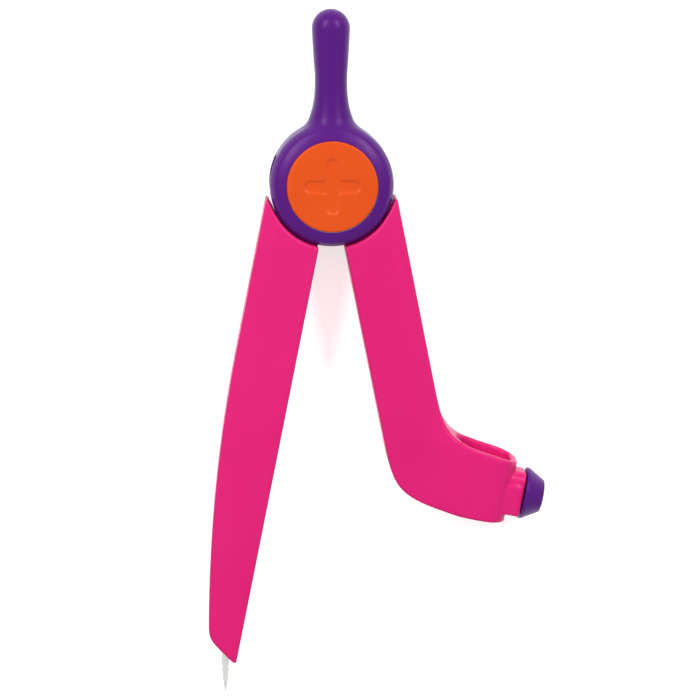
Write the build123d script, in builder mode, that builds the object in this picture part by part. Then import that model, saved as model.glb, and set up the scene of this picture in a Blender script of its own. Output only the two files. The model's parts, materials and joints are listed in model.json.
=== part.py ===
from build123d import *
from math import acos, asin, atan2, cos, degrees, radians, sin, sqrt, tan
import os

# School compass, lying on its back as it is put down on a desk.
#
# Frame: +Z points up out of the compass's front, +Y from the hinge towards the handle's top,
# and +X towards the pencil leg. The origin is on the hinge axis, on the flat of the rear cap.
#
# A handle with a round head holds two legs. Each leg ends in a thin tongue, and the tongues lie
# one over the other between the head's two cheeks, on one pivot pin, pressed together by a disc
# spring, so each leg stays where it is put. The left leg carries a steel point. The right leg
# bends into a foot with a ring that takes a pencil, held by a thumb screw with a pressure pad.
#
# All sizes are in millimetres, and angles in degrees.

# ---------------------------------------------------------------- driving dimensions
REST_OPENING = 22.5      # angle between the legs' inner edges as the compass lies
SWING = 70.0             # how far each leg opens from the closed position
STOP_ROOM = 2.0          # extra angle between that limit and the housing's stop face

# head
HEAD_RADIUS = 14.4
HEAD_SIDE = 6.8          # height of the head's upright side, at mid thickness
HEAD_THICK = 14.0
CREASE_INSET = 1.3       # the edge between the side and the sloping face lies this far in
CREASE_DROP = 1.4        # how far that edge lies below the front
FACE_SWELL = 0.3         # how far the sloping face bulges
CHEEK = 3.8              # thickness of each cheek of the fork

# handle
STEM_LENGTH = 25.3       # head's side to the handle's tip
STEM_BULB = 4.3          # half width near the tip
STEM_WAIST = 3.6         # half width at the waist
WAIST_RISE = 8.9         # head's side to the waist
STEM_ROOT = 4.5          # half width where the flare begins
ROOT_RISE = 1.8
STEM_THICK = 9.0
STEM_ROUND = 3.2         # rounding of the stem's long edges
FLARE_ANGLE = 36.0       # handle's middle line to where the flare dies into the head
FLARE_SLOPE = 41.0       # slope of the flare at that end

# caps
CAP_RADIUS = 10.4
CAP_THICK = 1.75
CAP_DOME = 0.25          # rise of the front cap's face
CAP_ROUND = 0.3
CAP_GAP = 0.15           # dark line all round the cap
PEG_RADIUS = 0.9
PEG_LENGTH = 1.3
PEG_CIRCLE = 7.8
PEGS = 3
CROSS_LENGTH = 12.6      # tip to tip of the recess in the front cap
CROSS_ROOT = 3.2         # arm width at the middle
CROSS_TIP = 2.7          # arm width at the rounded end
CROSS_DEPTH = 0.45
CROSS_SLOPE = 14.0
CROSS_CORNER = 0.7

# hinge
PIN_RADIUS = 3.0
PIN_HEAD_RADIUS = 4.5
PIN_HEAD = 0.8
PIN_GROOVE = 0.25        # depth of the groove that the retaining washer bites into
RETAINER_THICK = 0.5
RETAINER_TEETH = 6
DISC_RADIUS = 9.5        # tongue discs
SPRING_HEIGHT = 0.75
SPRING_THICK = 0.4
SPRING_RADIUS = 6.4
MIDDLE_WASHER = 0.3
FRONT_WASHER = 0.7
WASHER_RADIUS = 8.0

# legs
LEG_WIDTH = 14.1
LEG_THICK = 10.6
LEG_BEND = 42.0          # hinge to where the needle leg starts to narrow
LEG_TIP_WIDTH = 7.5      # width of the needle leg at its slanting end
LEG_LENGTH = 113.9       # hinge to the needle leg's very end
END_SLANT = 4.1          # how far the slanting end rises from there to the outer edge
TIP_ROUND = 3.0
END_FLAT = 1.3           # width of the flat at that end
FACET = 3.4              # width of the sloping facet along the outer edge
FACET_DROP = 0.9
FACET_RUN_OUT = 4.0      # how far past the bend the facet's cut goes on, in degrees
HORN_TIP = 0.7           # blunt end of the horn that wraps round the head
HORN_LOW = 6.4           # the horn ends at least this far below the hinge
EDGE = 0.4               # rounding of the mouldings' front edges
SKIN = 2.6               # front wall left by the cored back
WALL = 1.8               # side walls left by the cored back
RIB = 1.2
RIB_PITCH = 11.0

# needle
NEEDLE_OUT = 8.95        # leg's end to the point
NEEDLE_OFFSET = 0.9      # point to the inner edge's line
NEEDLE_LEAN = 11.25      # needle to the leg's inner edge
POINT_LENGTH = 3.3       # steep cone at the point
TAPER_LENGTH = 2.3       # slow cone behind it
NEEDLE_RADIUS = 1.05
NECK_RADIUS = 0.8        # where the two cones meet
FERRULE_RADIUS = 1.28
FERRULE_LENGTH = 10.0
FERRULE_BARB = 0.15

# pencil holder
HOLDER_LEAN = 22.75      # pencil to the leg's inner edge
FOOT_OUT = 8.28          # leg's inner edge to the corner where the sole turns along the ring
FOOT_LEVEL = 79.05       # hinge down to that corner, along the leg
FOOT_LAND = 0.5          # that corner to the ring's side
PENCIL_MAX = 9.0         # largest pencil that the ring takes
RING_WALL = 1.5
RING_LENGTH = 15.0       # seat to the ring's outer end
END_WALL = 1.7
RING_HEIGHT = 14.3       # lower edge to the rim at the ring's outer end
RIM_TILT = 9.0
RING_ROUND = 4.0         # upright edges at the ring's outer end
KNEE_ROUND = 6.8         # between the leg's outer edge and the rim
HEEL_RADIUS = 11.0
HEEL_TURN = 53.0
HEEL_RISE = 11.65        # from that corner's level up the leg to where the heel starts
SOLE_ROUND = 18.0        # takes the sole's corner into the ring's lower edge

# clamp
SCREW_RISE = 6.95        # ring's lower edge to the screw's axis
SCREW_RADIUS = 2.0
NECK_HEIGHT = 10.6
NECK_DEPTH = 9.0
NECK_LENGTH = 2.7
NECK_ROUND = 1.5
NUT_SIZE = 7.0
NUT_THICK = 2.2
NUT_WALL = 1.0           # wall between the nut and the ring's inside
BOSS_RISE = 0.5
BOSS_TOP = 1.8           # top of the arched boss above the screw's axis
KNOB_GAP = 0.3
KNOB_RADIUS = 6.0
KNOB_END_RADIUS = 3.75
KNOB_LENGTH = 4.8
KNOB_ROUND = 0.6
KNOB_GRIP = 3.4          # how far the screw goes into the knob
PENCIL_MIN = 6.5         # room left between the seat and the pad with the screw fully in
PAD_RADIUS = 3.0
PAD_THICK = 1.7
SPIGOT_RADIUS = 1.5
SPIGOT_LENGTH = 1.1

# clearances
RUNNING = 0.05           # round a turning pin, and between rubbing faces
LEG_GAP = 0.15           # leg's inner edge to the middle line when closed
HEAD_GAP = 0.3           # between the head's side and the legs' shoulders
DISC_GAP = 0.3
SCREW_GAP = 0.25         # round the screw where it only passes through
NUT_GAP = 0.05
PAD_ROOM = 0.2           # left between the pad and the end wall with the screw fully out
SEATED = 0.02            # between parts that are pushed together

# ---------------------------------------------------------------- what follows from them
half = REST_OPENING / 2
middle = HEAD_THICK / 2
crease_radius = HEAD_RADIUS - CREASE_INSET
shoulder = HEAD_RADIUS + HEAD_GAP
slot_low = CHEEK
slot_high = HEAD_THICK - CHEEK
cap_depth = CAP_THICK + SEATED
cap_floor = HEAD_THICK - cap_depth
leg_back = middle - LEG_THICK / 2
leg_front = middle + LEG_THICK / 2
washer_low = middle - MIDDLE_WASHER / 2
washer_high = middle + MIDDLE_WASHER / 2
rear_tongue_low = slot_low + SPRING_HEIGHT + RUNNING
rear_tongue = washer_low - RUNNING - rear_tongue_low
front_tongue_low = washer_high + RUNNING
front_tongue = slot_high - FRONT_WASHER - RUNNING - front_tongue_low

tip_level = LEG_LENGTH - END_SLANT
needle_reach = LEG_LENGTH + NEEDLE_OUT

# The ring is laid out across and along the pencil's axis from the hinge.
lean = radians(HOLDER_LEAN)
foot_corner = FOOT_OUT * cos(lean) + FOOT_LEVEL * sin(lean)
ring_bottom = FOOT_LEVEL * cos(lean) - FOOT_OUT * sin(lean)
seat_radius = PENCIL_MAX / 2
ring_depth = PENCIL_MAX + 2 * RING_WALL
seat_across = foot_corner + FOOT_LAND + RING_WALL
seat_centre = seat_across + seat_radius
ring_end = seat_across + RING_LENGTH
ring_inside_end = ring_end - END_WALL
rim_level = ring_bottom - RING_HEIGHT
screw_level = ring_bottom - SCREW_RISE
nut_inner = ring_inside_end + NUT_WALL
neck_end = ring_end + NECK_LENGTH
pad_face = seat_across + PENCIL_MIN
pad_back = pad_face + PAD_THICK
clamp_travel = ring_inside_end - PAD_ROOM - pad_back
knob_face = neck_end + KNOB_GAP

# Each leg's own frame has its inner edge along -Y, and turns about the hinge to the rest opening.
needle_frame = Plane.XY.rotated((0, 0, -half))
pencil_frame = Plane.XY.rotated((0, 0, half))
# The holder's frame has the clamp screw along +X and the pencil along +Y.
holder_frame = Plane.XY.rotated((0, 0, half - HOLDER_LEAN))


def from_holder(across, along):
    """A place given across and along the pencil's axis, in the pencil leg's own frame."""
    return (across * cos(lean) + along * sin(lean), along * cos(lean) - across * sin(lean))


def shoulder_outline(side):
    """Inner corner, arc round the head and blunt horn of a leg on this side of the middle line."""
    horn = LEG_WIDTH - HORN_TIP
    low = max(sqrt(max(shoulder**2 - horn**2, 0)), HORN_LOW)
    horn = sqrt(shoulder**2 - low**2)
    inner_top = (side * LEG_GAP, -sqrt(shoulder**2 - LEG_GAP**2))
    turn = acos(low / shoulder) / 2
    half_way = (side * shoulder * sin(turn), -shoulder * cos(turn))
    ThreePointArc(inner_top, half_way, (side * horn, -low))
    Line((side * horn, -low), (side * LEG_WIDTH, -low))
    return inner_top, (side * LEG_WIDTH, -low)


def front_edges(moulding):
    """Edges round a moulding's front face."""
    return moulding.edges().filter_by_position(Axis.Z, leg_front, leg_front)


def cut_facet(frame, side, bend_level, bend_radius, bend_angle):
    """Slope the front along a leg's outer edge, straight to the bend and then round it."""
    front = frame.offset(leg_front)
    drop = FACET_DROP * (1 + EDGE / FACET)
    corners = ((-FACET, 0), (EDGE, -side * drop), (EDGE, side * EDGE), (-FACET, side * EDGE))
    wedges = []
    for level in (0, bend_level):
        edge_point = front.from_local_coords((side * LEG_WIDTH, -level))
        with BuildSketch(Plane(edge_point, x_dir=side * frame.x_dir, z_dir=-frame.y_dir)) as wedge:
            Polygon(*corners, align=None)
        wedges.append(wedge.sketch)
    bend_centre = front.from_local_coords((side * LEG_WIDTH + bend_radius, -bend_level))
    extrude(wedges[0], amount=bend_level, mode=Mode.SUBTRACT)
    revolve(wedges[1], Axis(bend_centre, (0, 0, 1)), bend_angle, mode=Mode.SUBTRACT)


def add_tongue(frame, side, low, thick):
    """Thin disc with a strap into the leg, which lies between the head's cheeks."""
    strap = DISC_RADIUS - LEG_GAP
    with BuildSketch(frame.offset(low)) as outline:
        Circle(DISC_RADIUS)
        with Locations((side * (LEG_GAP + strap / 2), -(shoulder + WALL) / 2)):
            Rectangle(strap, shoulder + WALL)
        Circle(PIN_RADIUS + RUNNING, mode=Mode.SUBTRACT)
    extrude(outline.sketch, amount=thick)


def leave_ribs(side, rows):
    """Zigzag ribs, kept out of the cored back's sketch."""
    room = LEG_WIDTH - LEG_GAP - 2 * WALL
    slant = degrees(atan2(RIB_PITCH, room))
    for row in range(rows):
        level = -(shoulder + WALL + RIB_PITCH * (row + 0.5))
        turn = slant if row % 2 else -slant
        with Locations((side * (LEG_GAP + LEG_WIDTH) / 2, level)):
            Rectangle(2 * LEG_WIDTH, RIB, rotation=turn, mode=Mode.SUBTRACT)


# ---------------------------------------------------------------- handle housing
# The stem's outline flares into the head. Its long edges are well rounded for the fingers.
with BuildPart() as stem:
    with BuildSketch(Plane.XY.offset(middle - STEM_THICK / 2)):
        with BuildLine():
            stem_top = HEAD_RADIUS + STEM_LENGTH
            bulb = stem_top - STEM_BULB
            waist = (STEM_WAIST, HEAD_RADIUS + WAIST_RISE)
            side_line = Line((STEM_BULB, bulb), waist)
            flare = radians(FLARE_ANGLE)
            flare_end = (crease_radius * sin(flare), crease_radius * cos(flare))
            Spline(
                waist,
                (STEM_ROOT, HEAD_RADIUS + ROOT_RISE),
                flare_end,
                tangents=[side_line % 1, (cos(radians(FLARE_SLOPE)), -sin(radians(FLARE_SLOPE)))],
            )
            Polyline(flare_end, (flare_end[0], 0), (0, 0))
            ThreePointArc(
                (STEM_BULB, bulb),
                (STEM_BULB * sin(radians(45)), bulb + STEM_BULB * cos(radians(45))),
                (0, stem_top),
            )
            mirror(about=Plane.YZ)
        make_face()
    extrude(amount=STEM_THICK)
    long_edges = stem.edges().filter_by(Axis.Z, reverse=True)
    fillet(long_edges.filter_by(lambda edge: edge.center().Y > flare_end[1]), radius=STEM_ROUND)

with BuildPart() as handle_housing:
    # The head's side is upright at mid thickness and tapers in above and below it. Its faces
    # slope up to the caps.
    with BuildSketch(Plane.XZ):
        with BuildLine():
            flat = CAP_RADIUS + CAP_GAP
            crease_low = (crease_radius, CREASE_DROP)
            crease_high = (crease_radius, HEAD_THICK - CREASE_DROP)
            rim = flat + CAP_GAP
            Line((0, 0), (rim, 0))
            SagittaArc((rim, 0), crease_low, -FACE_SWELL)
            side_low = (HEAD_RADIUS, middle - HEAD_SIDE / 2)
            side_high = (HEAD_RADIUS, middle + HEAD_SIDE / 2)
            Polyline(crease_low, side_low, side_high, crease_high)
            SagittaArc(crease_high, (rim, HEAD_THICK), -FACE_SWELL)
            Line((rim, HEAD_THICK), (0, HEAD_THICK))
            Line((0, HEAD_THICK), (0, 0))
        make_face()
    revolve(axis=Axis.Z)
    add(stem.part)
    # The slot between the cheeks is round at the hinge, and its sloping ends stop the legs.
    with BuildSketch(Plane.XY.offset(slot_low)):
        pocket = DISC_RADIUS + DISC_GAP
        Circle(pocket)
        stop = radians(90 - SWING - STOP_ROOM)
        far = 2 * HEAD_RADIUS
        touch = (pocket * sin(stop), pocket * cos(stop))
        edge_of_stop = (touch[0] + far * cos(stop), touch[1] - far * sin(stop))
        with BuildLine():
            Line((0, touch[1]), touch)
            Line(touch, edge_of_stop)
            Line(edge_of_stop, (edge_of_stop[0], -far))
            Line((edge_of_stop[0], -far), (0, -far))
            mirror(about=Plane.YZ)
        make_face()
    extrude(amount=slot_high - slot_low, mode=Mode.SUBTRACT)
    # Both faces take a cap in a shallow recess, with blind holes for its pegs.
    for face, into in ((HEAD_THICK, -1), (0, 1)):
        with BuildSketch(Plane.XY.offset(face)):
            Circle(CAP_RADIUS + CAP_GAP)
        extrude(amount=into * cap_depth, mode=Mode.SUBTRACT)
        floor = face + into * cap_depth
        with BuildSketch(Plane.XY.offset(floor)):
            with PolarLocations(PEG_CIRCLE, PEGS):
                Circle(PEG_RADIUS + SEATED)
        extrude(amount=into * (PEG_LENGTH + SEATED), mode=Mode.SUBTRACT)
        with BuildSketch(Plane.XY.offset(floor)):
            Circle(PIN_HEAD_RADIUS + RUNNING)
        extrude(amount=into * (PIN_HEAD + SEATED), mode=Mode.SUBTRACT)
    with BuildSketch():
        Circle(PIN_RADIUS + RUNNING)
    extrude(amount=HEAD_THICK, mode=Mode.SUBTRACT)

# ---------------------------------------------------------------- caps
def cap_pegs(floor, into):
    """Three short pegs that press into the housing behind a cap."""
    with BuildSketch(Plane.XY.offset(floor)) as pegs:
        with PolarLocations(PEG_CIRCLE, PEGS):
            Circle(PEG_RADIUS)
    extrude(pegs.sketch, amount=into * PEG_LENGTH)


# The front cap is slightly domed and has a cross recess with sloping walls and rounded ends.
with BuildPart() as front_cap:
    with BuildSketch(Plane.XZ):
        with BuildLine():
            low = HEAD_THICK - CAP_THICK
            Line((0, low), (CAP_RADIUS, low))
            Line((CAP_RADIUS, low), (CAP_RADIUS, HEAD_THICK - CAP_ROUND))
            JernArc((CAP_RADIUS, HEAD_THICK - CAP_ROUND), (0, 1), CAP_ROUND, 90)
            flat_start = CAP_RADIUS - CAP_ROUND
            crown = (0, HEAD_THICK + CAP_DOME)
            TangentArc(crown, (flat_start, HEAD_THICK), tangent=(1, 0))
            Line(crown, (0, low))
        make_face()
    revolve(axis=Axis.Z)
    top = HEAD_THICK + CAP_DOME
    arm = CROSS_LENGTH / 2 - CROSS_TIP / 2
    with BuildSketch(Plane.XY.offset(top)) as cross:
        with PolarLocations(0, 4):
            Polygon(
                (0, -CROSS_ROOT / 2),
                (arm, -CROSS_TIP / 2),
                (arm, CROSS_TIP / 2),
                (0, CROSS_ROOT / 2),
                align=None,
            )
        with PolarLocations(arm, 4):
            Circle(CROSS_TIP / 2)
        fillet(cross.vertices().sort_by_distance((0, 0, 0))[:4], radius=CROSS_CORNER)
    extrude(amount=-CROSS_DEPTH - CAP_DOME, taper=CROSS_SLOPE, mode=Mode.SUBTRACT)
    cap_pegs(low, -1)

# The rear cap is plain and flat, because the compass rests on it.
with BuildPart() as rear_cap:
    with BuildSketch():
        Circle(CAP_RADIUS)
    extrude(amount=CAP_THICK)
    fillet(rear_cap.edges().group_by(Axis.Z)[0], radius=CAP_ROUND)
    cap_pegs(CAP_THICK, 1)

# ---------------------------------------------------------------- hinge
# The pin's broad head lies under the front cap, and a toothed washer grips its rear end.
pin_top = cap_floor - SEATED
pin_shoulder = pin_top - PIN_HEAD
pin_end = CAP_THICK + 2 * SEATED
retainer_top = cap_depth + PIN_HEAD + SEATED
retainer_low = retainer_top - RETAINER_THICK
with BuildPart() as pivot_pin:
    with BuildSketch(Plane.XZ):
        with BuildLine():
            groove = PIN_RADIUS - PIN_GROOVE
            Polyline(
                (0, pin_end),
                (groove, pin_end),
                (groove, retainer_top),
                (PIN_RADIUS, retainer_top),
                (PIN_RADIUS, pin_shoulder),
                (PIN_HEAD_RADIUS, pin_shoulder),
                (PIN_HEAD_RADIUS, pin_top),
                (0, pin_top),
                close=True,
            )
        make_face()
    revolve(axis=Axis.Z)
    chamfer(pivot_pin.edges().group_by(Axis.Z)[-1], length=PIN_HEAD / 3)

with BuildPart() as retaining_washer:
    with BuildSketch(Plane.XY.offset(retainer_low)):
        Circle(PIN_HEAD_RADIUS)
        Circle(PIN_RADIUS - PIN_GROOVE + SEATED, mode=Mode.SUBTRACT)
        with PolarLocations(PIN_RADIUS, RETAINER_TEETH):
            Rectangle(PIN_RADIUS / 2, PIN_RADIUS / 4, mode=Mode.SUBTRACT)
    extrude(amount=RETAINER_THICK)

# A coned spring washer keeps the tongues pressed together against the flat washers.
with BuildPart() as disc_spring:
    with BuildSketch(Plane.XZ):
        with BuildLine():
            inside = PIN_RADIUS + RUNNING
            Polyline(
                (inside, slot_low + SPRING_HEIGHT - SPRING_THICK),
                (SPRING_RADIUS, slot_low),
                (SPRING_RADIUS, slot_low + SPRING_THICK),
                (inside, slot_low + SPRING_HEIGHT),
                close=True,
            )
        make_face()
    revolve(axis=Axis.Z)


def flat_washer(low, thick):
    """Ring that lies round the pivot pin."""
    with BuildPart() as washer:
        with BuildSketch(Plane.XY.offset(low)):
            Circle(WASHER_RADIUS)
            Circle(PIN_RADIUS + RUNNING, mode=Mode.SUBTRACT)
        extrude(amount=thick)
    return washer


middle_washer = flat_washer(washer_low, MIDDLE_WASHER)
front_washer = flat_washer(slot_high - FRONT_WASHER, FRONT_WASHER)

# ---------------------------------------------------------------- needle leg
# One moulding: a tongue, a broad leg that narrows to a slanting end, and a cored back with ribs.
needle_bend = (-LEG_WIDTH, -LEG_BEND)
needle_tip = (-LEG_TIP_WIDTH, -tip_level)
bend_drop = tip_level - LEG_BEND
bend_radius = (bend_drop**2 + (LEG_WIDTH - LEG_TIP_WIDTH) ** 2) / (2 * (LEG_WIDTH - LEG_TIP_WIDTH))
bend_angle = degrees(asin(bend_drop / bend_radius)) + FACET_RUN_OUT
core_top = shoulder + WALL
core_end = LEG_LENGTH - FERRULE_LENGTH - 3 * WALL
narrowing = ((core_end - LEG_BEND) / (tip_level - LEG_BEND)) ** 2
core_end_width = LEG_WIDTH - (LEG_WIDTH - LEG_TIP_WIDTH) * narrowing - WALL
# The needle's own frame has the point at its origin and the needle along +Y.
point = needle_frame.from_local_coords((-NEEDLE_OFFSET, -needle_reach, middle))
needle_axis = Plane(point, x_dir=needle_frame.rotated((0, 0, NEEDLE_LEAN)).x_dir, z_dir=(0, 0, 1))
ferrule_low = POINT_LENGTH + TAPER_LENGTH + NEEDLE_RADIUS
ferrule_high = ferrule_low + FERRULE_LENGTH

with BuildPart() as needle_leg:
    with BuildSketch(needle_frame.offset(leg_back)) as outline:
        with BuildLine():
            inner_top, outer_top = shoulder_outline(-1)
            Line(outer_top, needle_bend)
            TangentArc(needle_bend, needle_tip, tangent=(0, -1))
            Polyline(needle_tip, (-END_FLAT, -LEG_LENGTH), (-LEG_GAP, -LEG_LENGTH), inner_top)
        make_face()
        fillet(outline.vertices().sort_by_distance(needle_tip)[0], radius=TIP_ROUND)
    extrude(amount=LEG_THICK)
    fillet(front_edges(needle_leg), radius=EDGE)
    cut_facet(needle_frame, -1, LEG_BEND, bend_radius, bend_angle)
    with BuildSketch(needle_frame.offset(leg_back)):
        with BuildLine():
            Polyline(
                (-LEG_WIDTH + WALL, -LEG_BEND),
                (-LEG_WIDTH + WALL, -core_top),
                (-LEG_GAP - WALL, -core_top),
                (-LEG_GAP - WALL, -core_end),
                (-core_end_width, -core_end),
            )
            TangentArc((-LEG_WIDTH + WALL, -LEG_BEND), (-core_end_width, -core_end), tangent=(0, -1))
        make_face()
        leave_ribs(-1, int((core_end - core_top) / RIB_PITCH) + 1)
    extrude(amount=LEG_THICK - SKIN, mode=Mode.SUBTRACT)
    add_tongue(needle_frame, -1, rear_tongue_low, rear_tongue)
    with BuildSketch(needle_axis):
        with Locations((0, ferrule_low)):
            Rectangle(FERRULE_RADIUS, FERRULE_LENGTH, align=Align.MIN)
    revolve(axis=Axis(needle_axis.origin, needle_axis.y_dir), mode=Mode.SUBTRACT)

# The steel ferrule is moulded into the leg's end, and the needle is pressed into the ferrule.
with BuildPart() as needle_ferrule:
    with BuildSketch(needle_axis):
        with BuildLine():
            Polyline(
                (NEEDLE_RADIUS, ferrule_low),
                (FERRULE_RADIUS - SEATED - FERRULE_BARB, ferrule_low),
                (FERRULE_RADIUS - SEATED, ferrule_low + 2 * FERRULE_BARB),
                (FERRULE_RADIUS - SEATED, ferrule_high),
                (NEEDLE_RADIUS, ferrule_high),
                close=True,
            )
        make_face()
    revolve(axis=Axis(needle_axis.origin, needle_axis.y_dir))

with BuildPart() as needle:
    with BuildSketch(needle_axis):
        with BuildLine():
            Polyline(
                (0, 0),
                (NECK_RADIUS, POINT_LENGTH),
                (NEEDLE_RADIUS - SEATED, POINT_LENGTH + TAPER_LENGTH),
                (NEEDLE_RADIUS - SEATED, ferrule_high),
                (0, ferrule_high),
                close=True,
            )
        make_face()
    revolve(axis=Axis(needle_axis.origin, needle_axis.y_dir))

# ---------------------------------------------------------------- pencil leg
# One moulding: tongue, leg, foot and ring, with a short neck that holds the clamp's nut.
sole_end = (FOOT_OUT, -FOOT_LEVEL)
heel_level = FOOT_LEVEL - HEEL_RISE
rim_slope = HOLDER_LEAN + RIM_TILT


def on_heel(turn):
    """A place on the heel's arc, this many degrees on from the leg's inner edge."""
    turn = radians(turn)
    return (LEG_GAP + HEEL_RADIUS * (1 - cos(turn)), -heel_level - HEEL_RADIUS * sin(turn))


def rim_along(across):
    """Height of the sloping rim, along the pencil's axis, at this distance across."""
    return -rim_level + (ring_end - across) * tan(radians(RIM_TILT))


rim_inner = from_holder(seat_centre, rim_along(seat_centre))
slope = radians(rim_slope)
knee_level = rim_inner[1] + (rim_inner[0] - LEG_WIDTH) * tan(slope)
knee_reach = KNEE_ROUND * tan(radians(45) - slope / 2)
knee_start = (LEG_WIDTH, knee_level + knee_reach)
knee_finish = (LEG_WIDTH + knee_reach * cos(slope), knee_level - knee_reach * sin(slope))
ring_section = Plane(
    holder_frame.from_local_coords((0, -ring_bottom, middle)),
    x_dir=holder_frame.x_dir,
    z_dir=holder_frame.y_dir,
)
ring_room = 2 * RING_HEIGHT
rim_origin = holder_frame.from_local_coords((ring_end, -rim_level, middle))
rim_plane = Plane(rim_origin, z_dir=holder_frame.rotated((0, 0, -RIM_TILT)).y_dir)
screw_start = holder_frame.from_local_coords((0, -screw_level, middle))
screw_axis = Axis(screw_start, holder_frame.x_dir)
screw_plane = Plane(screw_start, x_dir=holder_frame.x_dir, z_dir=(0, 0, 1))


def across_screw(across):
    """Plane square to the screw, at this distance across, with its X towards the ring's rim."""
    origin = screw_plane.from_local_coords((across, 0, 0))
    return Plane(origin, x_dir=holder_frame.y_dir, z_dir=holder_frame.x_dir)


def ring_outline(depth, end, corner):
    """Outline of the ring or its inside, round at the seat and with rounded corners at the end."""
    with BuildSketch(ring_section) as outline:
        with BuildLine():
            Line((seat_centre, depth), (end - corner, depth))
            JernArc((end - corner, depth), (1, 0), corner, -90)
            Line((end, depth - corner), (end, 0))
            JernArc((seat_centre, depth), (-1, 0), depth, 90)
            mirror(about=Plane.XZ)
        make_face()
    return outline.sketch


# The ring is a tube with a round seat at the leg's side, a flat outer end and a sloping rim.
with BuildPart() as ring:
    extrude(ring_outline(ring_depth / 2, ring_end, RING_ROUND), amount=ring_room)
    inside = ring_outline(seat_radius, ring_inside_end, RING_ROUND - RING_WALL)
    extrude(inside, amount=ring_room, mode=Mode.SUBTRACT)
    split(bisect_by=rim_plane, keep=Keep.BOTTOM)

with BuildPart() as pencil_leg:
    with BuildSketch(pencil_frame.offset(leg_back)) as outline:
        with BuildLine():
            inner_top, outer_top = shoulder_outline(1)
            Line(outer_top, knee_start)
            TangentArc(knee_start, knee_finish, tangent=(0, -1))
            Polyline(knee_finish, rim_inner, from_holder(seat_centre, -ring_bottom), sole_end)
            heel_heading = (sin(radians(HEEL_TURN)), -cos(radians(HEEL_TURN)))
            TangentArc(on_heel(HEEL_TURN), sole_end, tangent=heel_heading)
            ThreePointArc(on_heel(0), on_heel(HEEL_TURN / 2), on_heel(HEEL_TURN))
            Line(on_heel(0), inner_top)
        make_face()
        fillet(outline.vertices().sort_by_distance(sole_end)[0], radius=SOLE_ROUND)
    extrude(amount=LEG_THICK)
    fillet(front_edges(pencil_leg), radius=EDGE)
    cut_facet(pencil_frame, 1, -knee_start[1], KNEE_ROUND, 90 - rim_slope)
    # The foot runs into the ring's side, and the pencil passes right through.
    add(ring.part)
    extrude(inside, amount=ring_room, mode=Mode.SUBTRACT)
    # The neck carries the clamp's nut.
    with BuildSketch(across_screw(ring_inside_end + END_WALL / 2)):
        RectangleRounded(NECK_HEIGHT, NECK_DEPTH, NECK_ROUND)
    extrude(amount=neck_end - ring_inside_end - END_WALL / 2)
    # An arched boss on the neck's front covers the nut's pocket.
    with BuildSketch(screw_plane.offset(NECK_DEPTH / 2 - NECK_ROUND)):
        with BuildLine():
            boss_low = -NECK_HEIGHT / 2 + EDGE
            boss_left = neck_end - NUT_THICK - EDGE
            boss_right = neck_end - EDGE / 2
            boss_mid = (boss_left + boss_right) / 2
            arch = BOSS_TOP - (boss_right - boss_left) / 2
            Polyline((boss_left, arch), (boss_left, boss_low), (boss_right, boss_low), (boss_right, arch))
            ThreePointArc((boss_left, arch), (boss_mid, BOSS_TOP), (boss_right, arch))
        make_face()
    extrude(amount=NECK_ROUND + BOSS_RISE)
    # The screw's way in, and the nut's pocket, open at the neck's lower side.
    with BuildSketch(across_screw(seat_centre)):
        Circle(SCREW_RADIUS + SCREW_GAP)
    extrude(amount=neck_end - seat_centre + SCREW_GAP, mode=Mode.SUBTRACT)
    with BuildSketch(across_screw(nut_inner)):
        pocket_top = NUT_SIZE / 2 + NUT_GAP
        pocket_low = -NECK_HEIGHT
        with Locations(((pocket_top + pocket_low) / 2, 0)):
            Rectangle(pocket_top - pocket_low, NUT_SIZE + 2 * NUT_GAP)
    extrude(amount=NUT_THICK + 2 * NUT_GAP, mode=Mode.SUBTRACT)
    # The back is cored like the other leg's, down to the heel.
    core_right = LEG_WIDTH - WALL
    with BuildSketch(pencil_frame.offset(leg_back)):
        with BuildLine():
            ring_side = foot_corner - WALL
            Polyline(
                (LEG_GAP + WALL, -core_top),
                (core_right, -core_top),
                (core_right, knee_start[1]),
                from_holder(ring_side, rim_along(ring_side) - 2 * WALL),
                from_holder(ring_side, -ring_bottom + 2 * WALL),
                (LEG_GAP + 2 * WALL, -heel_level - HEEL_RADIUS / 2),
                (LEG_GAP + WALL, -heel_level),
                close=True,
            )
        make_face()
        leave_ribs(1, int((heel_level - core_top) / RIB_PITCH) + 1)
    extrude(amount=LEG_THICK - SKIN, mode=Mode.SUBTRACT)
    add_tongue(pencil_frame, 1, front_tongue_low, front_tongue)

# ---------------------------------------------------------------- clamp
# A square nut sits in the neck. The thumb screw turns in it and pushes the pad along.
with BuildPart() as clamp_nut:
    with BuildSketch(across_screw(nut_inner + NUT_GAP)):
        Rectangle(NUT_SIZE, NUT_SIZE)
        Circle(SCREW_RADIUS + RUNNING, mode=Mode.SUBTRACT)
    extrude(amount=NUT_THICK)

screw_tip = pad_face + PAD_THICK - SPIGOT_LENGTH + RUNNING
screw_shoulder = pad_back + RUNNING
with BuildPart() as clamp_screw:
    with BuildSketch(screw_plane):
        with BuildLine():
            Polyline(
                (screw_tip, 0),
                (screw_tip, SPIGOT_RADIUS),
                (screw_shoulder, SPIGOT_RADIUS),
                (screw_shoulder, SCREW_RADIUS - EDGE),
                (screw_shoulder + EDGE, SCREW_RADIUS),
                (knob_face + KNOB_GRIP, SCREW_RADIUS),
                (knob_face + KNOB_GRIP, 0),
                close=True,
            )
        make_face()
    revolve(axis=screw_axis)

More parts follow.
